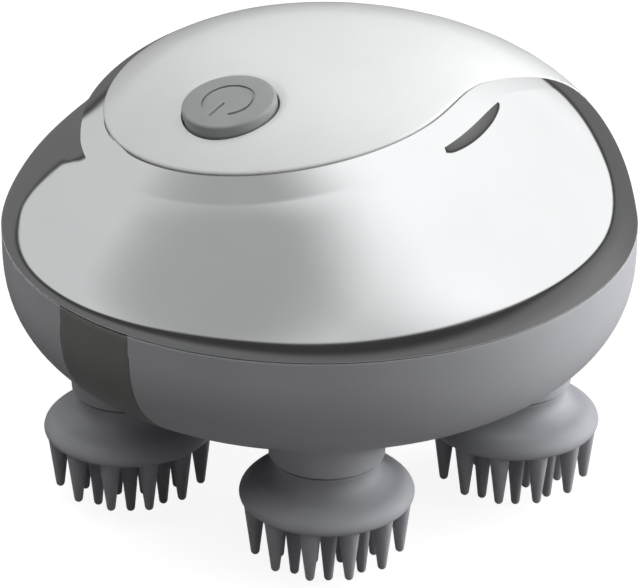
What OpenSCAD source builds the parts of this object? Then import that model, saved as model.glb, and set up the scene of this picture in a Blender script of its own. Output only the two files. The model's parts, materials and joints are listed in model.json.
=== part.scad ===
// Hand-held electric scalp massager: a domed palm grip over a bowl with five turning finger heads.
// Frame: +Z up, the front is -Y, the origin is on the body's axis in the plane of the lowest fingertips.

/* [Body] */
// Radius of the body at its widest
body_r = 53.8; // [53.4:0.1:54.4]
// Height of the bowl's underside
underside_z = 20; // [19.8:0.1:20.2]
// Height where the bowl is widest
widest_z = 43; // [42.5:0.5:43.5]
// Height of the seam between the bowl and the chrome shell
seam_z = 46.5; // [46.3:0.1:47]
// Height of the top of the dome
dome_z = 75.8; // [75:0.1:77]
// How far the top of the dome sits to the left
dome_shift = 3; // [2:0.1:4]
// How far the dome swings to the back half way up
dome_swing = 3.8; // [3:0.1:4.5]
// Wall of the bowl and the chrome shell
wall = 2; // [1.8:0.1:2.1]

/* [Top cover] */
// Thickness of the white top cover
cover_wall = 2; // [1.8:0.1:2.2]
// How far the cover sits to the left
cover_shift = 4.1; // [3.5:0.1:4.5]
// Radius of the cover's round front
cover_front_r = 30.4; // [29.8:0.1:31]
// Half width of the cover's tail over the back
cover_tail_w = 26.2; // [25.5:0.1:27]
// Height where the tail ends at the back
cover_tail_z = 52; // [51:0.5:54]
// Gap between the cover and the chrome collar
cover_gap = 0.15; // [0.1:0.05:0.3]
// Depth of the hollow collar round the cover
collar_drop = 1.3; // [0.8:0.1:1.5]
// Width of the hollow collar
collar_w = 4.5; // [3.5:0.1:5.5]

/* [Power button] */
// Radius of the button's cap
button_r = 7.85; // [7:0.05:8]
// Distance of the button in front of the body's axis
button_y = 21.8; // [21:0.1:22.5]
// How far the cap stands above the cover
button_rise = 1.4; // [0.8:0.1:2]
// Travel of the button
button_travel = 0.6; // [0.4:0.1:0.6]
// Gap round the cap
button_gap = 0.25; // [0.2:0.05:0.3]

/* [Massage heads] */
// Outer radius of a silicone pad
pad_r = 14.55; // [14.55:0.05:15]
// Fingers in the outer, middle and inner rows
finger_rows = [12, 8, 4];
// Radius of the three finger rows
finger_row_r = [12.4, 7.85, 3.2];
// Height of the fingertips of the three rows
finger_tip_z = [2.5, 0, 0];
// Radius of a finger at its root
finger_root_r = 1.85; // [1.6:0.05:1.85]
// Radius of a finger at its tip
finger_tip_r = 0.75; // [0.6:0.05:0.9]

/* [Gear train] */
// Teeth of the centre gear, which with the next number sets how far out the heads sit
centre_teeth = 49; // [47:1:49]
// Teeth of each head gear
head_teeth = 20; // [19:1:20]
// Teeth of the motor pinion
pinion_teeth = 14; // [13:1:14]
// Thinning of each tooth for backlash
backlash = 0.14; // [0.1:0.02:0.2]
// Direction of the motor from the body's axis
motor_angle = 135; // [133:1:137]

/* [Hidden] */
$fn = 64;
heads = 5;
head_nodes = ["massage_pad_", "pad_hub_", "output_shaft_", "head_gear_", "shaft_bush_", "shaft_seal_"];

// Colours
c_grey = "#7E7F84";
c_soft = "#88898E";
c_dark = "#3E403F";
c_white = "#E8E9E9";
c_chrome = "#C9CCCF";
c_button = "#8E908F";
c_steel = "#B9BCC0";
c_pom = "#D9D6C8";
c_board = "#2F6B45";
c_cell = "#3F6FA8";

// Head k sits at head_angle(k); one head points to the front right, half way to the side
function head_angle(k) = -45 + 360 / heads * (k - 1);
module at_head(k) rotate(head_angle(k)) translate([head_ring_r, 0, 0]) children();
module at_posts() for (k = [1 : heads])
    rotate(head_angle(k) + 180 / heads) translate([post_ring_r, 0, 0]) children();

// Levels of the mechanism
tooth_m = 1;
head_ring_r = (centre_teeth + head_teeth) / 2 * tooth_m;
pad_top_z = 19.6;
boss_r = 9.6;
boss_bottom_z = 20.05;
boss_top_z = 28;
shaft_r = 3;
running_gap = 0.05;
bush_r = 4.5;
bush_flange_r = 6.2;
bush_flange_t = 0.6;
seal_r = 6.5;
seal_t = 1.5;
head_gear_z = 28.8;
head_gear_t = 4.4;
centre_gear_t = 9;
pinion_z = 34;
pinion_t = 4;
plate_z = 39;
plate_t = 2;
plate_r = 48;
plate_top_z = plate_z + plate_t;
post_ring_r = 45;
post_r = 3.2;
post_bottom_z = 29;
screw_r = 1.1;
screw_head_r = 2.5;
motor_r = 12.2;
gearhead_r = 11;
gearhead_t = 8;
motor_t = 12.3;
drive_shaft_r = 2;
cell_r = 9.2;
cell_l = 65;
cell_pos = [0, -12, plate_top_z + 10.3];
frame_rib_x = 17;
frame_rib_t = 3;
board_size = [34, 22, 1.6];
socket_z = 43.05;
socket_r = 2.3;
socket_bore_r = 1.8;
socket_bore_l = 10;
socket_end_y = body_r - 0.4;
inlay_w = 16;
inlay_t = 0.8;

// ---- Bowl outline: a superellipse from the widest level down to a flat underside
bowl_power = 2.5;
bowl_roundness = 3.7;
flat_share = 0.99;
function bowl_r(u, r) = r * pow(1 - pow(u, bowl_power), 1 / bowl_roundness);
// Points down the outline of a bowl of radius r between the widest level and level z0
function bowl_points(r, z0, steps = 22) =
    [for (i = [0 : steps]) let (u = flat_share * sin(90 * i / steps))
        [bowl_r(u, r), widest_z - u * (widest_z - z0)]];
module bowl_solid(r, z0, top) {
    points = bowl_points(r, z0);
    rotate_extrude($fn = 128)
        polygon(concat([[0, top], [r, top]], points, [[0, points[len(points) - 1].y]]));
}

// ---- Dome surface: t runs from 0 at the seam to 1 at the top, a is the direction round it
dome_power = 1.33;
dome_roundness = 2.84;
top_shift = [-dome_shift, 0.6];
mid_swing = [1.2, dome_swing];
// Place of the dome's centre at level t; the factor makes the swing's peak equal to mid_swing
function dome_centre(t) = top_shift * t + mid_swing * 5.38 * pow(t, 1.5) * (1 - t);
function dome_r(t) = body_r * pow(max(0, 1 - pow(t, dome_power)), 1 / dome_roundness);
function dome_at(a, t) = let (c = dome_centre(t))
    [dome_r(t) * cos(a) + c.x, dome_r(t) * sin(a) + c.y, seam_z + (dome_z - seam_z) * t];
function dome_normal(a, t) =
    let (round_it = dome_at(a + 1, t) - dome_at(a - 1, t),
         up_it = dome_at(a, min(0.999, t + 0.003)) - dome_at(a, max(0, t - 0.003)),
         n = cross(round_it, up_it))
    n / norm(n);
// The point at depth d below the dome's surface
function under_dome(a, t, d) = dome_at(a, t) - d * dome_normal(a, t);

function smooth_step(x) = let (s = max(0, min(1, x))) s * s * (3 - 2 * s);
function smooth_min(a, b, k) = let (h = max(k - abs(a - b), 0) / k) min(a, b) - h * h * k / 4;

// ---- Outline of the white cover: a round front that runs into a tail with round corners
cover_front = [-cover_shift, -4.5];
tail_corner_r = 10;
tail_start_y = -5;
cover_blend = 3.8;
function tail_distance(p) =
    let (q = [abs(p.x + cover_shift) - cover_tail_w + tail_corner_r, cover_tail_z - p.z + tail_corner_r],
         box = norm([max(q.x, 0), max(q.y, 0)]) + min(max(q.x, q.y), 0) - tail_corner_r)
    max(box, tail_start_y - p.y);
function outside_cover(p) =
    smooth_min(norm([p.x, p.y] - cover_front) - cover_front_r, tail_distance(p), cover_blend);
// The level t at which direction a leaves the cover, by halving
function cover_edge(a, low = 0, high = 1, n = 18) =
    let (mid = (low + high) / 2)
    n == 0 ? mid
    : outside_cover(dome_at(a, mid)) < 0 ? cover_edge(a, low, mid, n - 1)
    : cover_edge(a, mid, high, n - 1);
// Change of t for one millimetre along the surface
function t_per_mm(a, t) = 0.01 / norm(dome_at(a, t + 0.005) - dome_at(a, t - 0.005));

// Directions of the lofted sections, closer together where the tail's corners turn
half_turn = concat(
    [for (i = [0 : 5]) 3 * i],
    [for (i = [0 : 18]) 18 + 1.8 * i],
    [for (i = [1 : 37]) 50.4 + 3.5027 * i]);
sections = concat(
    [for (v = half_turn) 90 - v],
    [for (i = [len(half_turn) - 2 : -1 : 1]) 90 + half_turn[i]]);

// A closed tube of sections, each a closed loop of the same number of points
module loft_ring(loops) {
    n = len(loops);
    m = len(loops[0]);
    polyhedron(
        points = [for (loop = loops, p = loop) p],
        faces = [for (i = [0 : n - 1], j = [0 : m - 1])
            let (i2 = (i + 1) % n, j2 = (j + 1) % m,
                 p = i * m + j, q = i2 * m + j, r = i2 * m + j2, s = i * m + j2)
            each [[p, q, r], [p, r, s]]]);
}

// A closed skin of rings between a first and a last point
module loft_cap(rings, first, last) {
    n = len(rings);
    m = len(rings[0]);
    end = n * m + 1;
    polyhedron(
        points = concat([first], [for (ring = rings, p = ring) p], [last]),
        faces = concat(
            [for (j = [0 : m - 1]) [0, 1 + (j + 1) % m, 1 + j]],
            [for (i = [0 : n - 2], j = [0 : m - 1])
                let (p = 1 + i * m + j, q = 1 + i * m + (j + 1) % m, r = q + m, s = p + m)
                each [[p, q, r], [p, r, s]]],
            [for (j = [0 : m - 1]) [end, end - m + j, end - m + (j + 1) % m]]));
}

// ---- Casing
// The inlay's outline from above: a straight strip with a round lower end
inlay_end_y = 47;
module front_slot() {
    translate([-inlay_w / 2, -body_r - 5, 0]) cube([inlay_w, body_r + 5 - inlay_end_y, seam_z]);
    translate([0, -inlay_end_y, 0]) cylinder(h = seam_z, r = inlay_w / 2);
}

module inlay_band() difference() {
    bowl_solid(body_r, underside_z, seam_z);
    bowl_solid(body_r - inlay_t, underside_z + inlay_t, seam_z + 1);
}

boss_flare = [[9.65, 21.6], [9.95, 23], [10.5, 24.4], [11.3, 25.8], [12.3, 27]];
module head_boss() rotate_extrude() polygon(concat(
    [[0, boss_bottom_z], [boss_r, boss_bottom_z]], boss_flare, [[12.3, boss_top_z], [0, boss_top_z]]));

seal_seat_r = 50.3;
seal_outer_r = body_r - wall;
seal_ring_t = 1.1;
module lower_housing() color(c_grey) difference() {
    union() {
        difference() {
            bowl_solid(body_r, underside_z, seam_z);
            bowl_solid(body_r - wall, underside_z + wall, seam_z + 1);
        }
        for (k = [1 : heads]) at_head(k) head_boss();
        translate([0, 0, underside_z + 0.5]) cylinder(h = boss_top_z - underside_z - 0.5, r = 7);
        at_posts() translate([0, 0, post_bottom_z]) cylinder(h = plate_z - post_bottom_z, r = post_r);
        // Ledge under the seal ring
        rotate_extrude($fn = 128) polygon([
            [seal_seat_r, seam_z - seal_ring_t], [seal_outer_r + 0.5, seam_z - seal_ring_t],
            [seal_outer_r + 0.5, widest_z - 0.5], [seal_outer_r, widest_z - 0.5], [seal_seat_r, seam_z - 2]]);
    }
    intersection() {
        inlay_band();
        front_slot();
    }
    for (k = [1 : heads]) at_head(k) {
        translate([0, 0, boss_bottom_z - 1]) cylinder(h = 12, r = bush_r);
        translate([0, 0, boss_bottom_z - 1]) cylinder(h = seal_t + 1, r = seal_r);
    }
    translate([0, 0, underside_z + 1.5]) cylinder(h = 10, r = shaft_r);
    at_posts() translate([0, 0, plate_z - 8]) cylinder(h = 9, r = screw_r);
    translate([0, 45, socket_z]) rotate([-90, 0, 0]) cylinder(h = 12, r = socket_r);
}

module front_inlay() color(c_dark) intersection() {
    inlay_band();
    front_slot();
}

module seal_ring() color(c_dark) translate([0, 0, seam_z - seal_ring_t]) difference() {
    cylinder(h = seal_ring_t, r = seal_outer_r, $fn = 128);
    translate([0, 0, -1]) cylinder(h = seal_ring_t + 2, r = seal_seat_r, $fn = 128);
}

// How far the chrome lies below the dome, s millimetres outside the cover's edge
edge_step = 0.3;
fade_w = 6;
function collar_dip(s, t) =
    let (bowl = 1 - pow(1 - min(1, s / collar_w), 2),
         fade = 1 - smooth_step((s - collar_w) / fade_w))
    (edge_step + (collar_drop - edge_step) * bowl) * fade * smooth_step(t / 0.12);

collar_shares = [0, 0.025, 0.055, 0.09, 0.13, 0.175, 0.225, 0.28, 0.36, 0.48, 0.64, 0.82, 1];
inner_shares = [0.75, 0.5, 0.28, 0.1];
ledge_w = 3;
ledge_t = 1.5;
seat_gap = 0.05;
function chrome_point(a, edge, share, depth) =
    let (t = edge * (1 - share), s = norm(dome_at(a, t) - dome_at(a, edge)))
    under_dome(a, t, depth + collar_dip(s, t));
function chrome_section(a) =
    let (edge = cover_edge(a), lip = edge + ledge_w * t_per_mm(a, edge), seat = cover_wall + seat_gap)
    concat(
        [for (share = collar_shares) chrome_point(a, edge, share, 0)],
        [[(body_r - wall) * cos(a), (body_r - wall) * sin(a), seam_z]],
        [for (share = inner_shares) chrome_point(a, edge, share, wall)],
        [under_dome(a, edge, seat + ledge_t), under_dome(a, lip, seat + ledge_t),
         under_dome(a, lip, seat), under_dome(a, edge, seat)]);
module chrome_shell() color(c_chrome) loft_ring([for (a = sections) chrome_section(a)]);

// ---- Top cover with the button's well
cover_shares = [0.16, 0.32, 0.48, 0.64, 0.8, 0.93];
bevel_w = 0.5;
bevel_drop = 0.22;
function cover_ring(share, depth) = [for (a = sections)
    let (edge = cover_edge(a) + cover_gap * t_per_mm(a, cover_edge(a)))
    under_dome(a, 1 - (1 - edge) * share * share, depth)];
function cover_rim(inset, depth) = [for (a = sections)
    let (edge = cover_edge(a)) under_dome(a, edge + (cover_gap + inset) * t_per_mm(a, edge), depth)];
module cover_skin() loft_cap(
    concat(
        [for (share = cover_shares) cover_ring(share, 0)],
        [cover_rim(bevel_w, 0), cover_rim(0, bevel_drop), cover_rim(0, cover_wall)],
        [for (i = [len(cover_shares) - 1 : -1 : 0]) cover_ring(cover_shares[i], cover_wall)]),
    dome_at(0, 1), dome_at(0, 1) - [0, 0, cover_wall]);

// The button's own frame: its origin on the cover's surface, z along the outward normal
button_turn = -84.8;
button_t = let (f = function (low, high, n) n == 0 ? (low + high) / 2
        : dome_at(button_turn, (low + high) / 2).y < -button_y ? f((low + high) / 2, high, n - 1)
        : f(low, (low + high) / 2, n - 1)) f(0.2, 1, 20);
button_surface = dome_at(button_turn, button_t);
button_normal = dome_normal(button_turn, button_t);
module at_button() translate(button_surface)
    rotate([acos(button_normal.z), 0, 90 + atan2(button_normal.y, button_normal.x)]) children();

// The flange that keeps the cap in lies just under the cover
flange_z = -3.35;
well_r = button_r + 1.4;
// The well that the button slides in, with a chamfered mouth
module button_well() at_button() rotate_extrude() polygon([
    [0, flange_z - 1], [button_r + button_gap, flange_z - 1], [button_r + button_gap, -0.7],
    [well_r, 0.5], [well_r, 4], [0, 4]]);
module top_cover() color(c_white) difference() {
    cover_skin();
    button_well();
}

flange_r = button_r + 1.05;
stem_r = 2.2;
stem_z = -3.8;
module power_button() color(c_button) at_button() rotate_extrude() polygon([
    [0, stem_z], [stem_r, stem_z], [stem_r, -0.6], [6.8, -0.6], [6.8, -4.1], [flange_r, -4.1],
    [flange_r, flange_z - 0.05], [button_r, flange_z - 0.05], [button_r, button_rise - 0.6],
    [button_r - 0.15, button_rise - 0.2], [button_r - 0.55, button_rise],
    [button_r - 1.6, button_rise + 0.06], [3.5, button_rise + 0.2], [0, button_rise + 0.25]]);

plunger_r = 1.7;
plunger_z = -5.8;
module switch_plunger() color(c_dark) at_button()
    translate([0, 0, plunger_z]) cylinder(h = stem_z - plunger_z, r = plunger_r);

board_top_z = -8;
switch_top_z = -4.6;
module tact_switch() color(c_steel) at_button() difference() {
    translate([-3, -3, board_top_z]) cube([6, 6, switch_top_z - board_top_z]);
    translate([0, 0, plunger_z - button_travel - 0.1]) cylinder(h = 5, r = plunger_r + running_gap);
}

module circuit_board() color(c_board) at_button() {
    translate([-board_size.x / 2, -board_size.y / 2, board_top_z - board_size.z]) cube(board_size);
    // Charging chip, driver chip and two capacitors on the upper side
    translate([7, -4, board_top_z]) cube([5, 5, 1]);
    translate([-13, 2, board_top_z]) cube([6, 4, 1.2]);
    for (x = [-11, -6.5]) translate([x, -6, board_top_z]) cylinder(h = 2.2, r = 1.6);
}

// ---- Power pack and its frame
rib_front_y = -27;
rib_back_y = -4;
// Height of the board's underside over a point of the frame
function board_under_z(x, y) =
    let (n = button_normal, base = button_surface + n * (board_top_z - board_size.z))
    base.z - (n.x * (x - base.x) + n.y * (y - base.y)) / n.z - 0.05;
module inner_frame() color(c_dark) difference() {
    union() {
        for (x = [-frame_rib_x, frame_rib_x]) translate([x - frame_rib_t / 2, 0, 0])
            rotate([90, 0, 90]) linear_extrude(frame_rib_t) polygon([
                [rib_front_y, plate_top_z], [1, plate_top_z], [1, cell_pos.z + 6],
                [rib_back_y, cell_pos.z + 9], [rib_back_y - 3, board_under_z(x, rib_back_y - 3)],
                [rib_front_y, board_under_z(x, rib_front_y)]]);
        translate([-frame_rib_x, rib_front_y, plate_top_z]) cube([2 * frame_rib_x, 1 - rib_front_y, 1]);
    }
    translate(cell_pos) rotate([0, 90, 0]) cylinder(h = cell_l + 10, r = cell_r + 0.05, center = true);
}

module battery_cell() color(c_cell) translate(cell_pos) rotate([0, 90, 0]) {
    translate([0, 0, -cell_l / 2]) cylinder(h = cell_l - 2, r = cell_r);
    translate([0, 0, cell_l / 2 - 2]) cylinder(h = 1.2, r = cell_r - 1);
    translate([0, 0, cell_l / 2 - 0.8]) cylinder(h = 0.8, r = 2.8);
}

module charging_socket() color(c_dark) difference() {
    union() {
        translate([0, 46, socket_z]) rotate([-90, 0, 0]) cylinder(h = socket_end_y - 46, r = socket_r);
        translate([-4, 40, plate_top_z]) cube([8, 7, 4.2]);
    }
    translate([0, socket_end_y - socket_bore_l, socket_z]) rotate([-90, 0, 0])
        cylinder(h = socket_bore_l + 1, r = socket_bore_r);
}

// ---- Gear train
pressure_angle = 20;
addendum = 0.8;
dedendum = 1.05;
function involute(a) = tan(a) * 180 / PI - a;
// Half the angle that a tooth spans at radius r
function half_tooth(r, n) =
    let (rp = n * tooth_m / 2, rb = rp * cos(pressure_angle),
         at_pitch = 90 / n - backlash / (2 * rp) * 180 / PI)
    at_pitch + involute(pressure_angle) - (r > rb ? involute(acos(rb / r)) : 0);
module gear_outline(n) {
    rp = n * tooth_m / 2;
    low = rp - dedendum;
    rb = rp * cos(pressure_angle);
    start = max(low + 0.1, rb);
    tip = rp + addendum;
    flank = concat([[low, half_tooth(start, n)]],
        [for (i = [0 : 4]) let (r = start + (tip - start) * i / 4) [r, half_tooth(r, n)]]);
    polygon([for (k = [0 : n - 1], side = [-1, 1], i = [0 : len(flank) - 1])
        let (f = flank[side < 0 ? i : len(flank) - 1 - i], a = 360 / n * k + side * f[1])
        f[0] * [cos(a), sin(a)]]);
}
// Turn that puts a gear with n teeth in mesh with the centre gear in direction a
function mesh_turn(a, n) = a * (1 + centre_teeth / n) + 180 - 180 / n;

module centre_gear() color(c_pom) translate([0, 0, head_gear_z]) difference() {
    union() {
        linear_extrude(centre_gear_t) gear_outline(centre_teeth);
        translate([0, 0, -0.6]) cylinder(h = centre_gear_t + 0.8, r = 6);
    }
    translate([0, 0, -2]) cylinder(h = centre_gear_t + 4, r = shaft_r + running_gap);
    // Hollow face and lightening holes
    translate([0, 0, centre_gear_t - 3]) difference() {
        cylinder(h = 4, r = 20.5);
        translate([0, 0, -1]) cylinder(h = 6, r = 7.5);
    }
    for (a = [0 : 60 : 300]) rotate(a) translate([14, 0, -1]) cylinder(h = 12, r = 4);
}

module centre_axle() color(c_steel) translate([0, 0, underside_z + 1.5])
    cylinder(h = plate_top_z - underside_z - 1.5, r = shaft_r);

centre_distance = (centre_teeth + pinion_teeth) / 2 * tooth_m;
module at_motor() rotate(motor_angle) translate([centre_distance, 0, 0]) children();

module motor_pinion() color(c_steel) at_motor() translate([0, 0, pinion_z])
    rotate(mesh_turn(motor_angle, pinion_teeth) - motor_angle) difference() {
        linear_extrude(pinion_t) gear_outline(pinion_teeth);
        translate([0, 0, -1]) cylinder(h = pinion_t + 2, r = drive_shaft_r);
    }

module gearhead_shaft() color(c_steel) at_motor()
    translate([0, 0, pinion_z - 0.5]) cylinder(h = plate_top_z + 2 - pinion_z + 0.5, r = drive_shaft_r);

module motor_gearhead() color(c_steel) at_motor() translate([0, 0, plate_top_z]) difference() {
    union() {
        cylinder(h = gearhead_t, r = gearhead_r);
        translate([0, 0, -1]) cylinder(h = 2, r = 3.6);
    }
    translate([0, 0, -2]) cylinder(h = 4.2, r = drive_shaft_r + running_gap);
}

module motor_can() color(c_steel) at_motor() translate([0, 0, plate_top_z + gearhead_t])
    rotate_extrude() polygon([
        [0, 0], [motor_r - 0.8, 0], [motor_r, 0.8], [motor_r, motor_t - 1.5],
        [motor_r - 1.5, motor_t - 0.8], [4.5, motor_t - 0.8], [4.5, motor_t], [0, motor_t]]);

module gear_plate() color(c_dark) translate([0, 0, plate_z]) difference() {
    cylinder(h = plate_t, r = plate_r, $fn = 128);
    for (k = [1 : heads]) at_head(k) translate([0, 0, -1])
        cylinder(h = plate_t + 2, r = shaft_r + running_gap);
    at_motor() translate([0, 0, -1]) cylinder(h = plate_t + 2, r = 3.6);
    translate([0, 0, -1]) cylinder(h = plate_t + 2, r = shaft_r);
    at_posts() translate([0, 0, -1]) cylinder(h = plate_t + 2, r = screw_r);
    // Room under the charging socket's barrel
    translate([0, 40, socket_z - plate_z]) rotate([-90, 0, 0]) cylinder(h = 12, r = socket_r + 0.3);
}

module plate_screws() color(c_steel) at_posts() {
    translate([0, 0, plate_top_z]) cylinder(h = 1.4, r1 = screw_head_r, r2 = screw_head_r - 0.5);
    translate([0, 0, plate_z - 7]) cylinder(h = plate_t + 7, r = screw_r);
}

// ---- Massage heads
hub_r = 10;
hub_z = 12.8;
hub_t = 2;
hub_socket_r = 5;
hub_top_z = 18.6;
pad_underside_z = 12.1;
// Outline of the silicone pad: a waisted neck that flares to a round rim
pad_outline = [
    [9.1, pad_top_z], [8.75, 18.9], [8.7, 18.2], [8.85, 17.4], [9.3, 16.6], [10.1, 15.9], [11.1, 15.4],
    [12.2, 15.1], [12.9, 14.8], [13.6, 14.3], [14.15, 13.75], [14.45, 13.3], [pad_r, 12.9],
    [pad_r - 0.07, 12.5], [pad_r - 0.25, pad_underside_z]];

// One finger: a slim cone with a round tip, its root sunk into the pad
root_depth = 0.6;
module finger(tip_z) rotate_extrude($fn = 24) polygon(concat(
    [[0, pad_underside_z + root_depth], [finger_root_r, pad_underside_z + root_depth]],
    [for (b = [0 : 22.5 : 90]) [finger_tip_r * cos(b), tip_z + finger_tip_r * (1 - sin(b))]]));

module hub_solid() union() {
    translate([0, 0, hub_z]) cylinder(h = hub_t, r = hub_r);
    translate([0, 0, hub_z]) cylinder(h = hub_top_z - hub_z, r = hub_socket_r);
}

module massage_pad(k) color(c_soft) at_head(k) difference() {
    union() {
        rotate_extrude() polygon(concat([[0, pad_top_z]], pad_outline, [[0, pad_underside_z]]));
        // The rows keep the same direction on every head
        rotate(-head_angle(k)) for (row = [0 : 2], i = [0 : finger_rows[row] - 1])
            rotate(360 / finger_rows[row] * i) translate([finger_row_r[row], 0, 0]) finger(finger_tip_z[row]);
    }
    hub_solid();
    translate([0, 0, hub_top_z - 1]) cylinder(h = 4, r = hub_socket_r);
}

module pad_hub(k) color(c_pom) at_head(k) difference() {
    hub_solid();
    translate([0, 0, hub_z + 0.8]) cylinder(h = 10, r = shaft_r);
}

module output_shaft(k) color(c_steel) at_head(k) translate([0, 0, hub_z + 0.8])
    cylinder(h = plate_top_z - hub_z - 0.8, r = shaft_r);

module head_gear(k) color(c_pom) at_head(k) translate([0, 0, head_gear_z])
    rotate(mesh_turn(head_angle(k), head_teeth) - head_angle(k)) difference() {
        linear_extrude(head_gear_t) gear_outline(head_teeth);
        translate([0, 0, -1]) cylinder(h = head_gear_t + 2, r = shaft_r);
    }

module shaft_bush(k) color(c_steel) at_head(k) difference() {
    union() {
        translate([0, 0, boss_bottom_z + seal_t])
            cylinder(h = boss_top_z - boss_bottom_z - seal_t, r = bush_r);
        translate([0, 0, boss_top_z]) cylinder(h = bush_flange_t, r = bush_flange_r);
    }
    translate([0, 0, boss_bottom_z]) cylinder(h = 12, r = shaft_r + running_gap);
}

module shaft_seal(k) color(c_dark) at_head(k) translate([0, 0, boss_bottom_z]) difference() {
    cylinder(h = seal_t, r = seal_r);
    translate([0, 0, -1]) cylinder(h = seal_t + 2, r = shaft_r + 0.3);
}

lower_housing();
front_inlay();
seal_ring();
chrome_shell();
top_cover();
power_button();
switch_plunger();
tact_switch();
circuit_board();
inner_frame();
battery_cell();
charging_socket();
gear_plate();
plate_screws();
motor_can();
motor_gearhead();
gearhead_shaft();
motor_pinion();
centre_gear();
centre_axle();
for (k = [1 : heads]) {
    massage_pad(k);
    pad_hub(k);
    output_shaft(k);
    head_gear(k);
    shaft_bush(k);
    shaft_seal(k);
}
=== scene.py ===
# %% [markdown]
# # An electric scalp massager
# The construction is already there: every piece that turns, fits or carries load is a solid in its
# place. This lesson loads those solids as a fixed frame and gives the visible ones their finish.
# A solid that already looks right keeps its mesh and only gets a material. The smooth casing, the
# button and the silicone heads are modelled again here, finer, and stand for their solids.

# %% Load the frame
import json
import math

import bpy
from mathutils import Matrix, Vector

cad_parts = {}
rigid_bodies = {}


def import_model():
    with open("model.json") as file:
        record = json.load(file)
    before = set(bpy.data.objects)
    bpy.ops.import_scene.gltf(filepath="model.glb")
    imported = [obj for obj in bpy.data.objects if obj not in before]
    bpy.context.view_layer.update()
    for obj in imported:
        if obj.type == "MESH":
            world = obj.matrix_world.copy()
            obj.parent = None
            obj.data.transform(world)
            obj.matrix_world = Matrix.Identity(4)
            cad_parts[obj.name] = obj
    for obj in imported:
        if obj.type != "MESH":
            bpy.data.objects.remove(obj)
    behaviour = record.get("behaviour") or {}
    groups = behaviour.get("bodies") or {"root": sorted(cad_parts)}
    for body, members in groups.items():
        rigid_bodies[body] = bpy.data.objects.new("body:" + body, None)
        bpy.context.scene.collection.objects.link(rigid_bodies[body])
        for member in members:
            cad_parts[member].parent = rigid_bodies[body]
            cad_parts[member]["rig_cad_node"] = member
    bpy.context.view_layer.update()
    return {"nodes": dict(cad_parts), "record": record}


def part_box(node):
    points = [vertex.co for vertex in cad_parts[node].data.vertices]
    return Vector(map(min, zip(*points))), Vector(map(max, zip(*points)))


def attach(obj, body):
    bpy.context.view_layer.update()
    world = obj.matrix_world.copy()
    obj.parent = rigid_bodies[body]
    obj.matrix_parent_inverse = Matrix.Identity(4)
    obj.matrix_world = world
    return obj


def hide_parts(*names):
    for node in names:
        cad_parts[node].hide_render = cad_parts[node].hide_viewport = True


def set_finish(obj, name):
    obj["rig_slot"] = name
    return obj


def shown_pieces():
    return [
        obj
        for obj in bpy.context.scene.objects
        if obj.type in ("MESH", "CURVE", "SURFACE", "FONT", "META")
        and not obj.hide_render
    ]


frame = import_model()
nodes = frame["nodes"]
bpy.ops.object.select_all(action="DESELECT")

# %% [markdown]
# ## Sizes
# Lengths are in metres, so a millimetre gets a name. The main sizes are read from the frame, which
# keeps this lesson right if the construction changes. The others are the maker's own numbers for
# the curves, and each is used by the formula that follows it.

# %% Sizes of the body
MM = 0.001
housing_low, housing_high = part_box("lower_housing")
BODY_R = housing_high.x
SEAM_Z = housing_high.z
BOSS_Z = housing_low.z
BOWL_Z = 20 * MM
WIDEST_Z = SEAM_Z - 3.5 * MM
DOME_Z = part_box("top_cover")[1].z
DOME_H = DOME_Z - SEAM_Z
WALL = 2 * MM
HEADS = 5
RING_R = 34.5 * MM
print(f"body {2 * BODY_R / MM:.1f} mm across, seam at {SEAM_Z / MM:.1f}, top at {DOME_Z / MM:.1f}")

# %% [markdown]
# ## The camera
# A long lens from about 0.65 m keeps the perspective flat, so the far heads look nearly as large as
# the near ones. The camera is turned with a quaternion that points its own -Z axis at the aim and
# keeps its Y axis upright.

# %% Camera
CAMERA_AZIMUTH = math.radians(43)
CAMERA_LEVEL = 27.09
CAMERA_DISTANCE = 656.5 * MM
LENS = 215.7
aim = Vector((0.06 * MM, 0.05 * MM, 31.36 * MM))


def direction(turn, level):
    """Unit vector towards this turn, counted from the camera, and this height, both in degrees."""
    a, e = CAMERA_AZIMUTH + math.radians(turn), math.radians(level)
    return Vector((math.sin(a) * math.cos(e), -math.cos(a) * math.cos(e), math.sin(e)))


towards_camera = direction(0, CAMERA_LEVEL)
bpy.ops.object.camera_add(location=aim + CAMERA_DISTANCE * towards_camera)
camera = bpy.context.object
camera.rotation_mode = "QUATERNION"
camera.rotation_quaternion = (-towards_camera).to_track_quat("-Z", "Y")
camera.data.lens = LENS
camera.data.clip_start = 0.05
bpy.context.scene.camera = camera

# %% [markdown]
# ## Small helpers for modelling
# Much of the casing is a skin that bends two ways at once, so it can't be drawn as one outline and
# turned. It starts as a plain grid, and each point of the grid is carried to its place by a formula.
# `weld` then merges the edges that met, turns the faces outwards and shades the piece smooth, and
# `settle` tells the frame where the finished piece belongs. `halve` finds the place where a formula
# changes from true to false, and `quarter` gives the angles of a rounded edge.

# %% Helpers for modelling
MERGE_DISTANCE = 0.002 * MM


def take(*pieces):
    """Selects these pieces and nothing else, and makes the first one active."""
    bpy.ops.object.select_all(action="DESELECT")
    for piece in pieces:
        piece.select_set(True)
    bpy.context.view_layer.objects.active = pieces[0]


def wrap_grid(name, across, up, place):
    """Adds a grid and carries its point (i, j) to place(i, j)."""
    bpy.ops.mesh.primitive_grid_add(x_subdivisions=across, y_subdivisions=up, size=1)
    piece = bpy.context.object
    piece.name = name
    for point in piece.data.vertices:
        point.co = place(round((point.co.x + 0.5) * across), round((point.co.y + 0.5) * up))
    return piece


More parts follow.
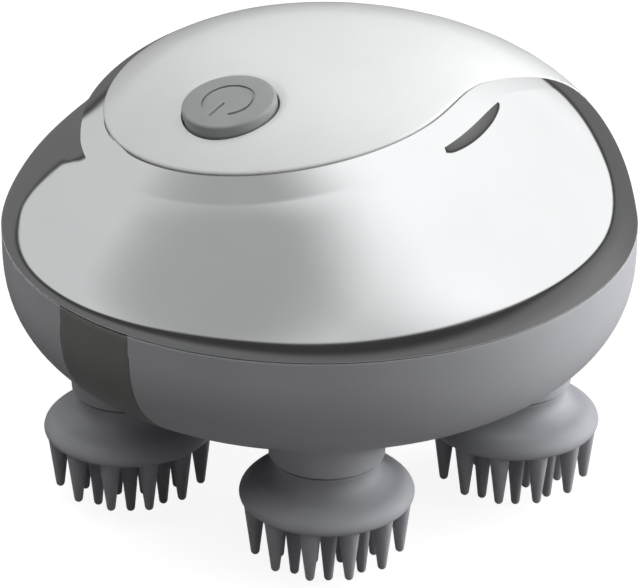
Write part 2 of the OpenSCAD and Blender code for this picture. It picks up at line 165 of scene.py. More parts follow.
def weld(piece, angle=30):
    """Merges points that meet, turns the faces outwards and shades the piece smooth up to angle."""
    take(piece)
    bpy.ops.object.mode_set(mode="EDIT")
    bpy.ops.mesh.select_all(action="SELECT")
    bpy.ops.mesh.remove_doubles(threshold=MERGE_DISTANCE)
    bpy.ops.mesh.normals_make_consistent(inside=False)
    bpy.ops.object.mode_set(mode="OBJECT")
    bpy.ops.object.shade_smooth_by_angle(angle=math.radians(angle))
    print(f"{piece.name}: {len(piece.data.polygons)} faces")


def settle(piece, body, slot, *replaced):
    """Puts a finished piece on its body, names its material slot and hides the solids it stands for."""
    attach(piece, body)
    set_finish(piece, slot)
    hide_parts(*replaced)


def halve(inside, low, high, steps=30):
    """The value between low and high at which inside() stops being true, by halving."""
    for _ in range(steps):
        middle = (low + high) / 2
        if inside(middle):
            low = middle
        else:
            high = middle
    return (low + high) / 2


def quarter(steps):
    """Angles of a quarter turn, from 0 to a right angle, in this many steps."""
    return [math.radians(90 * i / steps) for i in range(steps + 1)]

# %% [markdown]
# ## The dome's formula
# The chrome shell and the white cover share one dome. Level t runs from 0 at the seam to 1 at the
# top and a is the direction round the body. The dome's centre swings to the back half way up and
# ends a little to the left, which gives the body its pebble shape. SWING_SCALE makes the swing's peak
# equal to MID_SWING. The normal comes from two short steps along the skin.

# %% The dome
DOME_POWER = 1.33
DOME_ROUNDNESS = 2.84
TOP_SHIFT = Vector((-3, 0.6)) * MM
MID_SWING = Vector((1.2, 3.8)) * MM
SWING_SCALE = 5.38
STEP_A, STEP_T, LAST_T = 0.01, 0.003, 0.999


def dome_radius(t):
    return BODY_R * max(0.0, 1 - t**DOME_POWER) ** (1 / DOME_ROUNDNESS)


def dome_centre(t):
    return TOP_SHIFT * t + MID_SWING * (SWING_SCALE * t**1.5 * (1 - t))


def dome_at(a, t):
    r, centre = dome_radius(t), dome_centre(t)
    return Vector((r * math.cos(a) + centre.x, r * math.sin(a) + centre.y, SEAM_Z + DOME_H * t))


def level_of(p):
    """Level t of a point by its height, and its place in plan from the dome's centre there."""
    t = (p.z - SEAM_Z) / DOME_H
    return t, p.xy - dome_centre(max(0.0, t))


def under_dome(a, t, depth):
    """The point at this depth under the dome's skin."""
    around = dome_at(a + STEP_A, t) - dome_at(a - STEP_A, t)
    upwards = dome_at(a, min(LAST_T, t + STEP_T)) - dome_at(a, max(0.0, t - STEP_T))
    return dome_at(a, t) - depth * around.cross(upwards).normalized()

# %% [markdown]
# ## The S-shaped edge of the cover
# The cover is a round disc at the front that runs into a broad tail over the back. Both are
# described by their distance, and a smooth minimum of the two distances rounds the waist between
# them. The cover ends where that distance is zero, and halving finds the place on each line.

# %% Outline of the cover
FRONT_CENTRE = Vector((-4.1, -4.5)) * MM
FRONT_R = 30.4 * MM
TAIL_HALF_W = 26.2 * MM
TAIL_END_Z = 52 * MM
TAIL_CORNER_R = 10 * MM
TAIL_START_Y = -5 * MM
WAIST_BLEND = 3.8 * MM


def tail_distance(p):
    sideways = abs(p.x - FRONT_CENTRE.x) - TAIL_HALF_W + TAIL_CORNER_R
    down = TAIL_END_Z - p.z + TAIL_CORNER_R
    corner = math.hypot(max(sideways, 0), max(down, 0))
    return max(corner + min(max(sideways, down), 0) - TAIL_CORNER_R, TAIL_START_Y - p.y)


def outside_cover(p):
    front = (p.xy - FRONT_CENTRE).length - FRONT_R
    tail = tail_distance(p)
    mix = max(WAIST_BLEND - abs(front - tail), 0) / WAIST_BLEND
    return min(front, tail) - mix * mix * WAIST_BLEND / 4


def cover_edge(a):
    """The level at which the line up the dome in this direction meets the cover."""
    return halve(lambda t: outside_cover(dome_at(a, t)) >= 0, 0, 1)

# %% [markdown]
# ## The chrome shell
# The real shell is moulded ABS, 2 mm thick, with a bright chrome plating. Round the cover runs a
# collar, 5 mm wide, which ends in a crease with a soft step behind it. The step is deep at the left
# and at the waist and almost nothing in front. So the table gives for each direction, in degrees from
# the right and counted over the back, the chrome's depth under the dome in mm at the cover's edge, at
# the crease and behind the step, and the step's width. The dip fades out on the way to the seam.

# %% Depths of the collar
COLLAR_W = 5 * MM
AT_FRONT, AT_SIDE = (0.12, 0.38, 0.1, 5), (0.9, 0, 1.25, 5)
COLLAR_DEPTHS = [(turn, Vector(depths)) for turn, depths in (
    (-180, AT_SIDE), (-140, AT_SIDE), (-118, (0.5, 0.1, 0.9, 5)), (-98, (0.12, 0.3, 0.2, 5)),
    (-80, AT_FRONT), (-45, AT_FRONT), (-22, (0.12, 0.15, 0.6, 4)), (-8, (0.15, 0.1, 2.2, 3.6)),
    (14, (0.15, 0.1, 2.5, 3.8)), (32, (0.15, 0.1, 0.6, 4)), (50, (0.15, 0.1, 0.1, 5)),
    (90, (0.3, 0.1, 0.3, 5)), (130, AT_SIDE), (180, AT_SIDE))]
FADE_START_T, FADE_T = 0.15, 0.38


def smooth_step(x):
    s = max(0.0, min(1.0, x))
    return s * s * (3 - 2 * s)


def ramp(x, points):
    """The value at x of a smooth curve through these points."""
    k = max(i for i in range(len(points) - 1) if i == 0 or points[i][0] <= x)
    (x0, y0), (x1, y1) = points[k], points[k + 1]
    before, after = points[max(0, k - 1)], points[min(len(points) - 1, k + 2)]
    slope_0 = (y1 - before[1]) / (x1 - before[0]) * (x1 - x0)
    slope_1 = (after[1] - y0) / (after[0] - x0) * (x1 - x0)
    w = (x - x0) / (x1 - x0)
    return ((1 + 2 * w) * (1 - w) ** 2 * y0 + w * (1 - w) ** 2 * slope_0
            + w * w * (3 - 2 * w) * y1 + w * w * (w - 1) * slope_1)


def collar_dip(a, s, t):
    """How far the chrome lies under the dome, s outside the cover's edge: a ring, then a step."""
    turn = math.degrees(math.remainder(a, 2 * math.pi))
    at_edge, at_crease, behind, step_w = MM * ramp(turn, COLLAR_DEPTHS)
    ring = min(1.0, s / COLLAR_W)
    step = 1 - min(1.0, max(0.0, (s - COLLAR_W) / step_w))
    depth = at_edge + (at_crease - at_edge) * ring + (behind - at_crease) * (1 - step**2)
    return depth * smooth_step((t - FADE_START_T) / FADE_T)


print(f"collar depth at the waist {collar_dip(0, 2 * COLLAR_W, 1) / MM:.2f} mm")

# %% [markdown]
# One closed section is worked out for each direction: from the cover's edge down the outside, round a
# small lip at the seam and up the inside to the ledge that carries the cover. Plating shows every
# flat spot, so the sections are many and narrow, and one point of each lies exactly on the crease.

# %% One section of the chrome shell
SEAM_GAP = 0.16 * MM
CHROME_LIP_R = 0.12 * MM
SKIN_END = 1.4 * CHROME_LIP_R
LIP_T = SKIN_END / DOME_H
LEDGE_W = 3 * MM
LEDGE_T = 1.5 * MM
SEAT = 2.05 * MM
LEDGE_STEP_T = 0.005
RING_ROWS = 12
FLANK_ROWS = 34
FLANK_CROWDING = 1.25
INNER_SHARES = (0.03, 0.25, 0.5, 0.72, 0.9)


def chrome_point(a, edge, t, depth):
    s = (dome_at(a, t) - dome_at(a, edge)).length
    return under_dome(a, t, depth + collar_dip(a, s, t))


def lip_point(a, inset, drop):
    r = BODY_R - inset
    return Vector((r * math.cos(a), r * math.sin(a), SEAM_Z + SEAM_GAP / 2 + drop))


def chrome_section(a):
    """The closed section in one direction. Its first rows lie on the ring, the next on the flank."""
    edge = cover_edge(a)
    ledge_way = dome_at(a, edge + LEDGE_STEP_T) - dome_at(a, edge - LEDGE_STEP_T)
    ledge = edge + LEDGE_W * (2 * LEDGE_STEP_T / ledge_way.length)
    crease = halve(lambda t: (dome_at(a, t) - dome_at(a, edge)).length > COLLAR_W, 0, edge)
    crease = max(crease, edge / 2)
    levels = [edge + (crease - edge) * i / RING_ROWS for i in range(RING_ROWS)]
    for i in range(FLANK_ROWS + 1):
        levels.append(crease + (LIP_T - crease) * (i / FLANK_ROWS) ** FLANK_CROWDING)
    outside = [chrome_point(a, edge, t, 0) for t in levels]
    lip = [lip_point(a, CHROME_LIP_R * (1 - math.cos(b)), CHROME_LIP_R * (1 - math.sin(b)))
           for b in quarter(6)]
    foot = [lip_point(a, WALL, 0)]
    inside = [chrome_point(a, edge, edge * share, WALL) for share in INNER_SHARES]
    carrier = [
        under_dome(a, edge, SEAT + LEDGE_T), under_dome(a, ledge, SEAT + LEDGE_T),
        under_dome(a, ledge, SEAT), under_dome(a, edge, SEAT)]
    return outside + lip + foot + inside + carrier + outside[:1]

# %% Chrome shell
CHROME_SECTIONS = 480
sections = [chrome_section(2 * math.pi * i / CHROME_SECTIONS) for i in range(CHROME_SECTIONS)]
sections.append(sections[0])
chrome = wrap_grid("chrome_dome", CHROME_SECTIONS, len(sections[0]) - 1, lambda i, j: sections[i][j])
weld(chrome, 40)
settle(chrome, "housing", "chrome_plate", "chrome_shell")

# %% [markdown]
# ## The button's own frame
# The button slides square to the dome, 21.2 mm in front of the axis. A matrix holds its place: its
# origin lies on the skin, x points to the right and z along the outward normal. Anything modelled
# upright at the origin is brought there with one transform.

# %% The button's frame
BUTTON_Y = -21.2 * MM
BUTTON_TURN = math.radians(-84.8)
BUTTON_R = 7.85 * MM
BUTTON_GAP = 0.32 * MM
BUTTON_RISE = 0.85 * MM
button_t = halve(lambda t: dome_at(BUTTON_TURN, t).y < BUTTON_Y, 0.2, 1)
button_origin = dome_at(BUTTON_TURN, button_t)
button_up = (button_origin - under_dome(BUTTON_TURN, button_t, 1)).normalized()
button_right = Vector((-button_up.y, button_up.x, 0)).normalized()
button_back = button_up.cross(button_right)
button_frame = Matrix.Translation(button_origin) @ Matrix(
    (button_right, button_back, button_up)).transposed().to_4x4()
print("button tilt", round(math.degrees(button_up.angle((0, 0, 1))), 2))

# %% [markdown]
# ## The white cover
# The cover has a round hole for the button. If the hole were cut out afterwards, the gloss would
# show the cut in its highlights. So the grid is laid out in rings that grow from the hole to the
# S-shaped edge. The rings are planned on a flat chart, where each point has the direction and the
# distance from the top that it has on the dome, and then carried back to the dome.

# %% A flat chart of the dome
SKIN_SEARCH = -6 * MM, 3 * MM


def chart_reach(t):
    """How far from the middle of the chart this level of the dome lies."""
    return math.hypot(dome_radius(t), DOME_H * (1 - t))


def on_chart(p):
    """A point of the dome's skin, laid flat on the chart."""
    t, away = level_of(p)
    return away.normalized() * chart_reach(t)


def off_chart(q):
    """Direction and level of a point of the chart."""
    return math.atan2(q.y, q.x), halve(lambda t: chart_reach(t) > q.length, 0, 1)


def on_skin(x, y):
    """The point of the dome's skin over (x, y) in the button's frame."""
    def inside(h):
        t, away = level_of(button_frame @ Vector((x, y, h)))
        return away.length < dome_radius(t)
    return button_frame @ Vector((x, y, halve(inside, *SKIN_SEARCH)))

# %% [markdown]
# Round the button the cover sinks into a shallow dish, deepest behind the cap, so that a finger finds
# the button without a look. The outer edge has a soft bevel, half as deep as it is wide.

# %% One column of the cover
COVER_COLUMNS = 240
COVER_ROWS = 26
ROW_CROWDING = 1.2
TAIL_CROWDING = 0.6
COVER_WALL = 2 * MM
COVER_GAP = 0.35 * MM
EDGE_BEVEL = 0.6 * MM
BEVEL_SLOPE = 0.5
WELL_R = BUTTON_R + BUTTON_GAP
DISH_R = 9.7 * MM
DISH_DEPTH = 0.75 * MM
DISH_MIDDLE, DISH_SLOPE = 0.45, 0.6
DISH_FALL = 1.5
DISH_SHARES = (1, 0.82, 0.62, 0.4, 0.18, 0)


def cover_column(i):
    """All points of column i, from the well's foot over the skin to the rim and back underneath."""
    s = 2 * i / COVER_COLUMNS - 1
    turn = math.pi * s + TAIL_CROWDING * math.sin(math.pi * s) - math.pi / 2
    ray = Vector((math.cos(turn), math.sin(turn)))
    dish_skin = on_skin(*(DISH_R * ray))
    start = on_chart(dish_skin)
    centre = on_chart(button_origin)
    way = (start - centre).normalized()

    def inside(reach):
        return outside_cover(dome_at(*off_chart(centre + reach * way))) < 0
    end = centre + halve(inside, (start - centre).length, 3 * BODY_R) * way
    outwards = (end - start).length
    dish = []
    dish_depth = DISH_DEPTH * smooth_step(DISH_MIDDLE + DISH_SLOPE * ray.y)
    for share in DISH_SHARES:
        across = WELL_R + (DISH_R - WELL_R) * share
        depth = dish_depth * (1 - share) ** DISH_FALL
        dish.append(on_skin(*(across * ray)) - depth * button_up)
    well_foot = on_skin(*(WELL_R * ray)) - COVER_WALL * button_up
    last = 1 - (COVER_GAP + EDGE_BEVEL) / outwards
    shares = [last * math.sin(math.pi / 2 * j / COVER_ROWS) ** ROW_CROWDING
              for j in range(1, COVER_ROWS + 1)]
    levels = [off_chart(start + share * (end - start)) for share in shares]
    skin = [under_dome(a, t, 0) for a, t in levels]
    rim_a, rim_t = off_chart(start + (1 - COVER_GAP / outwards) * (end - start))
    edge = []
    for b in quarter(3)[1:]:
        a, t = off_chart(end - (COVER_GAP + EDGE_BEVEL * (1 - math.sin(b))) * way)
        edge.append(under_dome(a, t, EDGE_BEVEL * BEVEL_SLOPE * (1 - math.cos(b))))
    rim = [under_dome(rim_a, rim_t, COVER_WALL)]
    lining = [under_dome(a, t, COVER_WALL) for a, t in reversed(levels[::5])]
    return [well_foot] + dish[::-1] + skin + edge + rim + lining + [well_foot]

# %% White cover
columns = [cover_column(i) for i in range(COVER_COLUMNS)]
columns.append(columns[0])
cover = wrap_grid("white_cover", COVER_COLUMNS, len(columns[0]) - 1, lambda i, j: columns[i][j])
weld(cover, 50)
settle(cover, "housing", "white_gloss", "top_cover")

# %% [markdown]
# ## The bowl under the seam
# The lower housing is a deep bowl with a soft-touch lacquer. Five bosses carry the heads, and each
# runs out of the bowl with a small fillet. The bowl is laid out as one field per head: rings grow
# from the boss to the four sides of its field, so that no edge ever crosses a fillet. A band above
# the fields and a disc in the middle close the bowl.

# %% The bowl's formula
BOWL_POWER = 2.5
BOWL_ROUNDNESS = 3.7
FLAT_SHARE = 0.99


def bowl_radius(u, inset=0.0):
    return (BODY_R - inset) * (1 - u**BOWL_POWER) ** (1 / BOWL_ROUNDNESS)


def bowl_share(r, inset=0.0):
    """The share u of the way down at which the bowl has this radius; inset gives the inner skin."""
    share = min(1.0, r / (BODY_R - inset))
    return (1 - share**BOWL_ROUNDNESS) ** (1 / BOWL_POWER)


def bowl_height(u, inset=0.0):
    return WIDEST_Z - u * (WIDEST_Z - BOWL_Z - inset)


def bowl_level(r, inset=0.0):
    """Height of the bowl's skin at this distance from the axis."""
    return bowl_height(min(FLAT_SHARE, bowl_share(r, inset)), inset)

# %% One field of the bowl with its boss
SIDE_STEPS = 30
SKIN_ROWS, FILLET_ROWS, FLANK_STEPS, INSIDE_ROWS = 10, 6, 5, 6
FIELD_IN = 19.8 * MM
FIELD_OUT = 50 * MM
BOSS_R = 9.6 * MM
BOSS_DRAFT = 0.075
FILLET = 1.6 * MM
BOSS_EDGE = 0.12 * MM
INNER_R = 12.3 * MM
SEAL_R = 6.5 * MM
SEAL_SEAT = 1.5 * MM
SEAL_CHAMFER = 0.2 * MM
BUSH_R = 4.5 * MM
BOSS_H = 8.2 * MM
RING_CENTRE = Vector((RING_R, 0))


def field_edge(i):
    """Point i of the loop round a field, in plan: an arc, a side, an arc and a side."""
    side, step = divmod(i % (4 * SIDE_STEPS), SIDE_STEPS)
    share = step / SIDE_STEPS
    half = math.pi / HEADS
    turn, reach = (
        (-half + 2 * half * share, FIELD_IN),
        (half, FIELD_IN + (FIELD_OUT - FIELD_IN) * share),
        (half - 2 * half * share, FIELD_OUT),
        (-half, FIELD_OUT - (FIELD_OUT - FIELD_IN) * share))[side]
    return Vector((reach * math.cos(turn), reach * math.sin(turn)))


def boss_radius(z):
    """The boss has a little draft, so that it leaves its mould."""
    return BOSS_R + BOSS_DRAFT * (z - BOSS_Z)


def lift(plan, z):
    return Vector((plan.x, plan.y, z))


def field_column(i):
    """Column i of a field: in along the skin, down the boss, through its bore and out again inside."""
    side = field_edge(i)
    ray = (side - RING_CENTRE).normalized()

    def in_plan(r):
        return RING_CENTRE + r * ray

    def on_bowl(plan, inset=0.0):
        return lift(plan, bowl_level(plan.length, inset))

    joint_z = halve(lambda z: z < bowl_level(in_plan(boss_radius(z)).length), BOSS_Z, SEAM_Z)
    joint = lift(in_plan(boss_radius(joint_z)), joint_z)
    above = in_plan(boss_radius(joint_z) + FILLET)
    below_z = max(joint_z - FILLET, BOSS_Z + BOSS_EDGE)
    below = lift(in_plan(boss_radius(below_z)), below_z)
    skin = [on_bowl(side.lerp(above, j / SKIN_ROWS)) for j in range(SKIN_ROWS + 1)]
    rounding = []
    for j in range(1, FILLET_ROWS + 1):
        w = j / FILLET_ROWS
        rounding.append(skin[-1].lerp(joint, w).lerp(joint.lerp(below, w), w))
    flank = []
    for j in range(1, FLANK_STEPS + 1):
        z = below_z + (BOSS_Z + BOSS_EDGE - below_z) * j / FLANK_STEPS
        flank.append(lift(in_plan(boss_radius(z)), z))
    foot = []
    for b in quarter(3)[1:]:
        r = BOSS_R - BOSS_EDGE * (1 - math.cos(b))
        foot.append(lift(in_plan(r), BOSS_Z + BOSS_EDGE * (1 - math.sin(b))))
    bore = [lift(in_plan(r), BOSS_Z + up) for r, up in (
        (SEAL_R + SEAL_CHAMFER, 0), (SEAL_R, SEAL_CHAMFER), (SEAL_R, SEAL_SEAT), (BUSH_R, SEAL_SEAT),
        (BUSH_R, BOSS_H))]
    top = [lift(in_plan(BOSS_R), BOSS_Z + BOSS_H)]
    inside = [on_bowl(in_plan(INNER_R).lerp(side, j / INSIDE_ROWS), WALL) for j in range(INSIDE_ROWS + 1)]
    return skin + rounding + flank + foot + bore + top + inside

# %% Five fields
def head_angle(k):
    """Direction of head k. The first head stands at the front right, half way to the side."""
    return -math.pi / 4 + 2 * math.pi / HEADS * (k - 1)


field = [field_column(i) for i in range(4 * SIDE_STEPS + 1)]
housing_parts = []
for k in range(1, HEADS + 1):
    turned = Matrix.Rotation(head_angle(k), 3, "Z")
    housing_parts.append(wrap_grid(
        f"field_{k}", 4 * SIDE_STEPS, len(field[0]) - 1, lambda i, j: turned @ field[i][j]))

# %% [markdown]
# The band's outline is one line of points: up the outside from the fields, round the lip at the seam
# and down the inner wall. The lip is a small quarter round, so that the seam reads as a fine dark
# line and not as a crack.

# %% The band above the fields and the disc between them
HOUSING_LIP_R = 0.15 * MM
BAND_COLUMNS = HEADS * SIDE_STEPS
OUTER_ROWS, INNER_ROWS, DISC_RINGS = 12, 6, 3
rim_z = SEAM_Z - SEAM_GAP / 2
u_out, u_in = bowl_share(FIELD_OUT), bowl_share(FIELD_OUT, WALL)
band = []
for j in range(OUTER_ROWS + 1):
    u = u_out * (1 - j / OUTER_ROWS)
    band.append((bowl_radius(u), bowl_height(u)))
band += [(BODY_R, WIDEST_Z + share * (SEAM_Z - WIDEST_Z)) for share in (0.3, 0.6, 0.85)]
for b in quarter(3):
    band.append((BODY_R - HOUSING_LIP_R * (1 - math.cos(b)), rim_z - HOUSING_LIP_R * (1 - math.sin(b))))
band += [(BODY_R - WALL, rim_z), (BODY_R - WALL, WIDEST_Z)]
for j in range(1, INNER_ROWS + 1):
    u = u_in * j / INNER_ROWS
    band.append((bowl_radius(u, WALL), bowl_height(u, WALL)))


def around(i, r, z):
    a = head_angle(1) - math.pi / HEADS + 2 * math.pi * i / BAND_COLUMNS
    return Vector((r * math.cos(a), r * math.sin(a), z))


housing_parts.append(wrap_grid(
    "band", BAND_COLUMNS, len(band) - 1, lambda i, j: around(i, *band[j])))
for name, inset in (("disc", 0), ("inner_disc", WALL)):
    reaches = [FIELD_IN * j / DISC_RINGS for j in range(DISC_RINGS + 1)]
    rings = [(r, bowl_level(r, inset)) for r in reaches]
    housing_parts.append(wrap_grid(name, BAND_COLUMNS, DISC_RINGS, lambda i, j: around(i, *rings[j])))
take(*housing_parts)
bpy.ops.object.join()
housing = bpy.context.object
housing.name = "soft_touch_bowl"
weld(housing, 35)

# %% [markdown]
# ## The dark strip and its recess
# A dark strip of ABS, 0.8 mm thick, is let into the front of the bowl. Its sheet is a grid that
# follows the bowl down to a round end, where the square corners of the grid are pressed on to a
# circle. Solidify gives the sheet its thickness and Bevel breaks its edge. The same sheet, a little
# wider and thicker, is the tool that cuts the recess, so the two always fit.

# %% Sheet for the strip
STRIP_END_Y = 47 * MM


def bowl_skin(plan, depth):
    """The point over this place in plan, at this depth under the bowl's skin."""
    reach, step = plan.length, 0.01 * MM
    slope = (bowl_level(reach + step / 2) - bowl_level(reach - step / 2)) / step
    outward = Vector((plan.x / reach * slope, plan.y / reach * slope, -1)).normalized()
    return lift(plan, bowl_level(reach)) - depth * outward


def strip_sheet(name, half_width, top_z, depth):
    """The strip's outline as a single sheet at this depth under the bowl's skin."""
    across, wall_rows, bowl_rows, end_rows = 20, 3, 24, 8

    def place(i, j):
        s = 2 * i / across - 1
        if j <= wall_rows:
            x, z = half_width * s, top_z + (WIDEST_Z - top_z) * j / wall_rows
            return Vector((x, -math.sqrt((BODY_R - depth) ** 2 - x * x), z))
        if j <= wall_rows + bowl_rows:
            x, share = half_width * s, (j - wall_rows) / bowl_rows
            r = bowl_radius(bowl_share(math.hypot(x, STRIP_END_Y)) * share)
            return bowl_skin(Vector((x, -math.sqrt(r * r - x * x))), depth)
        tau = (j - wall_rows - bowl_rows) / end_rows
        return bowl_skin(Vector((
            half_width * s * math.sqrt(1 - tau * tau / 2),
            -STRIP_END_Y + half_width * tau * math.sqrt(1 - s * s / 2))), depth)
    return wrap_grid(name, across, wall_rows + bowl_rows + end_rows, place)

# %% Helpers for thickness and cuts
def thicken(piece, thickness):
    """Gives a sheet its thickness on the side that its faces turn away from."""
    weld(piece)
    if sum((face.normal.y for face in piece.data.polygons)) > 0:
        bpy.ops.object.mode_set(mode="EDIT")
        bpy.ops.mesh.flip_normals()
        bpy.ops.object.mode_set(mode="OBJECT")
    bpy.ops.object.modifier_add(type="SOLIDIFY")
    piece.modifiers[-1].thickness = thickness
    piece.modifiers[-1].offset = -1
    bpy.ops.object.modifier_apply(modifier=piece.modifiers[-1].name)


def cut(piece, tool):
    """Takes the tool's shape out of the piece, and the tool out of the scene."""
    take(piece)
    bpy.ops.object.modifier_add(type="BOOLEAN")
    modifier = piece.modifiers[-1]
    modifier.operation = "DIFFERENCE"
    modifier.solver = "EXACT"
    modifier.object = tool
    bpy.ops.object.modifier_apply(modifier=modifier.name)
    bpy.data.objects.remove(tool)

# %% Dark strip and its recess
STRIP_W = 16 * MM
STRIP_T = 0.8 * MM
STRIP_GAP = 0.06 * MM
STRIP_PLAY = 0.02 * MM
STRIP_EDGE = 0.15 * MM
TOOL_REACH = 2 * MM
recess = strip_sheet("recess", STRIP_W / 2, SEAM_Z + TOOL_REACH, -TOOL_REACH)
thicken(recess, TOOL_REACH + STRIP_T)
cut(housing, recess)
strip = strip_sheet("front_strip", STRIP_W / 2 - STRIP_GAP, SEAM_Z - SEAM_GAP, 0.0)
thicken(strip, STRIP_T - STRIP_PLAY)
take(strip)
bpy.ops.object.modifier_add(type="BEVEL")
strip.modifiers[-1].width = STRIP_EDGE
strip.modifiers[-1].segments = 2
strip.modifiers[-1].limit_method = "ANGLE"
strip.modifiers[-1].angle_limit = math.radians(50)
bpy.ops.object.modifier_apply(modifier=strip.modifiers[-1].name)
weld(strip, 35)
settle(strip, "housing", "inlay_dark", "front_inlay")

# %% [markdown]
# ## The hole for the charging socket
# The socket sits in the back wall under the seam, and its barrel needs a round hole in the bowl. A
# cylinder through the wall, taken out with Boolean, is the plain tool for that.

# %% Hole for the charging socket
socket_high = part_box("charging_socket")[1]
SOCKET_R = 2.3 * MM
SOCKET_Z = 43.05 * MM
bpy.ops.mesh.primitive_cylinder_add(
    vertices=48, radius=SOCKET_R, depth=10 * MM,
    location=(0, socket_high.y, SOCKET_Z), rotation=(math.pi / 2, 0, 0))
cut(housing, bpy.context.object)
weld(housing, 35)
settle(housing, "housing", "soft_touch_grey", "lower_housing")

# %% [markdown]
# ## Turned pieces
# The button, the pads and their fingers are round, so each is drawn as half an outline and spun.
# The outline is drawn as by hand: the corners of a plane are merged to one point, which is moved to
# the start and then extruded from corner to corner.

# %% Helper for turned pieces
def turn_outline(name, outline, steps):
    """Draws an outline of (radius, height) points, spins it round the Z axis and welds it."""
    bpy.ops.mesh.primitive_plane_add(size=MM)
    piece = bpy.context.object
    piece.name = name
    bpy.ops.object.mode_set(mode="EDIT")
    bpy.ops.mesh.merge(type="CENTER")
    corners = [Vector((r, 0, z)) for r, z in outline]
    bpy.ops.transform.translate(value=corners[0])
    for start, end in zip(corners, corners[1:]):
        bpy.ops.mesh.extrude_region_move(TRANSFORM_OT_translate={"value": end - start})
    bpy.ops.mesh.select_all(action="SELECT")
    bpy.ops.mesh.spin(steps=steps, angle=2 * math.pi, center=(0, 0, 0), axis=(0, 0, 1))
    bpy.ops.object.mode_set(mode="OBJECT")
    weld(piece)
    return piece

# %% [markdown]
# ## The power button
# The cap is a shallow crowned disc with a rounded edge and a skirt that slides in the cover's well.
# Underneath it is hollow, with a stem in the middle for the switch and a flange that keeps it in.

# %% The button's cap
STEM_R, STEM_Z = 2.2 * MM, -3.8 * MM
HOLLOW_R, HOLLOW_Z = 6.8 * MM, -0.6 * MM
FLANGE_R, FLANGE_Z, FLANGE_FOOT_Z = 8.9 * MM, -3.4 * MM, -4.1 * MM
CAP_ROUND = 0.55 * MM
CROWN = 0.15 * MM
cap_outline = [
    (0, STEM_Z), (STEM_R, STEM_Z), (STEM_R, HOLLOW_Z), (HOLLOW_R, HOLLOW_Z), (HOLLOW_R, FLANGE_FOOT_Z),
    (FLANGE_R, FLANGE_FOOT_Z), (FLANGE_R, FLANGE_Z), (BUTTON_R, FLANGE_Z)]
for b in quarter(4):
    cap_outline.append((BUTTON_R - CAP_ROUND * (1 - math.cos(b)),
                        BUTTON_RISE - CAP_ROUND * (1 - math.sin(b))))
for r in (5.6, 4, 2, 0):
    cap_outline.append((r * MM, BUTTON_RISE + CROWN * (1 - (r * MM / BUTTON_R) ** 2)))
button = turn_outline("power_cap", cap_outline, 96)

# %% [markdown]
# The usual sign for on and off, a broken ring with a bar, is sunk into the cap's face. The ring is a
# flat tube from which the faces in front are deleted, and its two open ends are closed again. The bar
# is a block with all its edges rounded. Both are tools that Boolean takes out of the cap.

# %% The sign in the cap
SIGN_R = 4.2 * MM
SIGN_W = 0.55 * MM
SIGN_DEPTH = 0.4 * MM
SIGN_OPENING = math.radians(38)
BAR_Y = -0.72 * SIGN_R
BAR_LENGTH = 0.95 * SIGN_R
BAR_ROUND = 0.45 * SIGN_W
sign_z = BUTTON_RISE + CROWN - SIGN_DEPTH
sign_in, sign_out = SIGN_R - SIGN_W / 2, SIGN_R + SIGN_W / 2
ring = turn_outline("sign_ring", [
    (sign_in, sign_z), (sign_out, sign_z), (sign_out, sign_z + MM), (sign_in, sign_z + MM),
    (sign_in, sign_z)], 96)
take(ring)
bpy.ops.object.mode_set(mode="EDIT")
bpy.ops.mesh.select_all(action="DESELECT")
bpy.ops.object.mode_set(mode="OBJECT")
for face in ring.data.polygons:
    face.select = abs(math.atan2(face.center.x, -face.center.y)) < SIGN_OPENING
bpy.ops.object.mode_set(mode="EDIT")
bpy.ops.mesh.delete(type="FACE")
bpy.ops.mesh.select_all(action="DESELECT")
bpy.ops.mesh.select_non_manifold()
bpy.ops.mesh.edge_face_add()
bpy.ops.object.mode_set(mode="OBJECT")
weld(ring)
cut(button, ring)
bpy.ops.mesh.primitive_cube_add(size=1, location=(0, BAR_Y, sign_z + MM / 2))
bar = bpy.context.object
bar.scale = (SIGN_W, BAR_LENGTH, MM)
bpy.ops.object.transform_apply(location=True, rotation=True, scale=True)
bpy.ops.object.modifier_add(type="BEVEL")
bar.modifiers[-1].width = BAR_ROUND
bar.modifiers[-1].segments = 4
bar.modifiers[-1].affect = "EDGES"
bar.modifiers[-1].limit_method = "NONE"
bpy.ops.object.modifier_apply(modifier=bar.modifiers[-1].name)
cut(button, bar)

# %% [markdown]
# The cap's face stands more level than the cover round it, so its front edge is proud and its back
# edge nearly sunk. The points of the face are moved up and down by a slope, and the skirt stays.

# %% The cap in its place
SLOPE_RIGHT, SLOPE_BACK = 0.03, 0.075
for point in button.data.vertices:
    if point.co.z > 0:
        point.co.z += SLOPE_RIGHT * point.co.x - SLOPE_BACK * point.co.y
take(button)
button.matrix_world = button_frame
bpy.ops.object.transform_apply(location=True, rotation=True, scale=True)
weld(button, 30)
settle(button, "button", "button_grey", "power_button")

# %% [markdown]
# ## The silicone heads
# A head is one silicone moulding: a waisted neck, a round flange and 24 soft fingers in rows of
# twelve, eight and four. One finger for each row is turned, with a small fillet at its root, copied
# to each place and joined to the flange. The flat between the roots is then filled, and leaves 24
# holes for them.

# %% Outlines of a head and of a finger
PAD_TOP_Z = 19.6 * MM
PAD_UNDER_Z = 12.1 * MM
PAD_R = 14.55 * MM
UNDER_R = PAD_R - 0.25 * MM
RIM_KEEP = 0.12 * MM
FINGER_ROWS = ((12, 12.4 * MM, 2.5 * MM), (8, 7.85 * MM, 0), (4, 3.2 * MM, 0))
FINGER_ROOT_R = 1.85 * MM
FINGER_TIP_R = 0.75 * MM
ROOT_FILLET = 0.55 * MM
ROOT_TRIM = 0.08 * MM
SHAFT_STEPS = 5
TOUCH = 0.001 * MM


